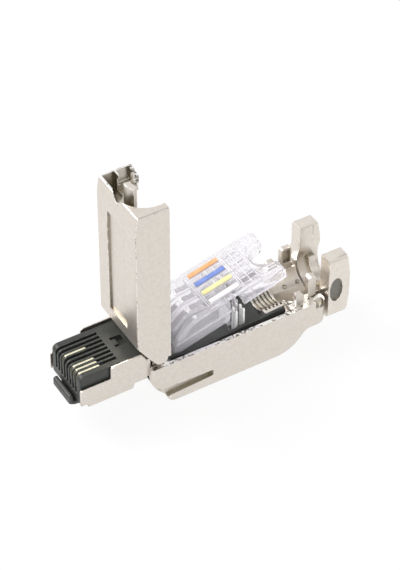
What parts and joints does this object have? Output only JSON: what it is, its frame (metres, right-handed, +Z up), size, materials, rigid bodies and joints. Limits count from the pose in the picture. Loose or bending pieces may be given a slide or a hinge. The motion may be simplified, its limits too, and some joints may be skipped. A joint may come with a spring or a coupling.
{
  "type": "field termination ethernet plug",
  "caption": "Metal-shelled modular network plug for wiring on site: hinged cover, clear wire manager over insulation displacement terminals, sprung latch and a quarter-turn cable lock.",
  "frame": {"origin": "middle of the object's length and width, on the ground under the lower shell's flat belly", "axes": "+X from the mating nose to the cable end, +Y to the far side, +Z up"},
  "size_m": [0.0568, 0.0138, 0.0494],
  "materials": {
    "nickel_zinc": "satin nickel",
    "black_plastic": "satin",
    "gold": "gold plated",
    "tinned": "tin plated",
    "steel_pin": "bright",
    "clear_plastic": "clear",
    "orange": "satin",
    "blue": "satin",
    "yellow": "satin",
    "white": "satin"
  },
  "bodies": {
    "housing": {"base_housing": "nickel_zinc", "nose_shield": "nickel_zinc", "contact_carrier": "black_plastic", "contact_1": "gold", "contact_2": "gold", "contact_3": "gold", "contact_6": "gold", "idc_terminal_1": "tinned", "idc_terminal_2": "tinned", "idc_terminal_3": "tinned", "idc_terminal_4": "tinned", "cover_pin_near": "steel_pin", "cover_pin_far": "steel_pin"},
    "cover_body": {"cover": "nickel_zinc"},
    "manager_body": {"wire_manager": "clear_plastic", "marker_orange": "orange", "marker_blue": "blue", "marker_yellow": "yellow", "marker_white": "white"},
    "lock_body": {"lock_lever": "nickel_zinc"},
    "latch_body": {"latch_lever": "black_plastic"}
  },
  "joints": [
    {"name": "cover_hinge", "type": "hinge", "parent": "housing", "child": "cover_body", "pos_m": [-0.01158, 0, 0.0122], "axis": [0, 1, 0], "range_deg": [0, 90]},
    {"name": "manager_hinge", "type": "hinge", "parent": "housing", "child": "manager_body", "pos_m": [-0.00923, 0, 0.0093], "axis": [0, 1, 0], "range_deg": [0, 14.8]},
    {"name": "lock_turn", "type": "hinge", "parent": "housing", "child": "lock_body", "pos_m": [0.02382, 0, 0.0113], "axis": [1, 0, 0], "range_deg": [0, 90]},
    {"name": "latch_flex", "type": "hinge", "parent": "housing", "child": "latch_body", "pos_m": [-0.02753, 0, 0.007], "axis": [0, -1, 0], "range_deg": [0, 8], "stiffness_Nm_per_rad": 0.05}
  ],
  "couplings": [
    {"joint": "manager_hinge", "follows": "cover_hinge", "ratio": 0.16444}
  ]
}
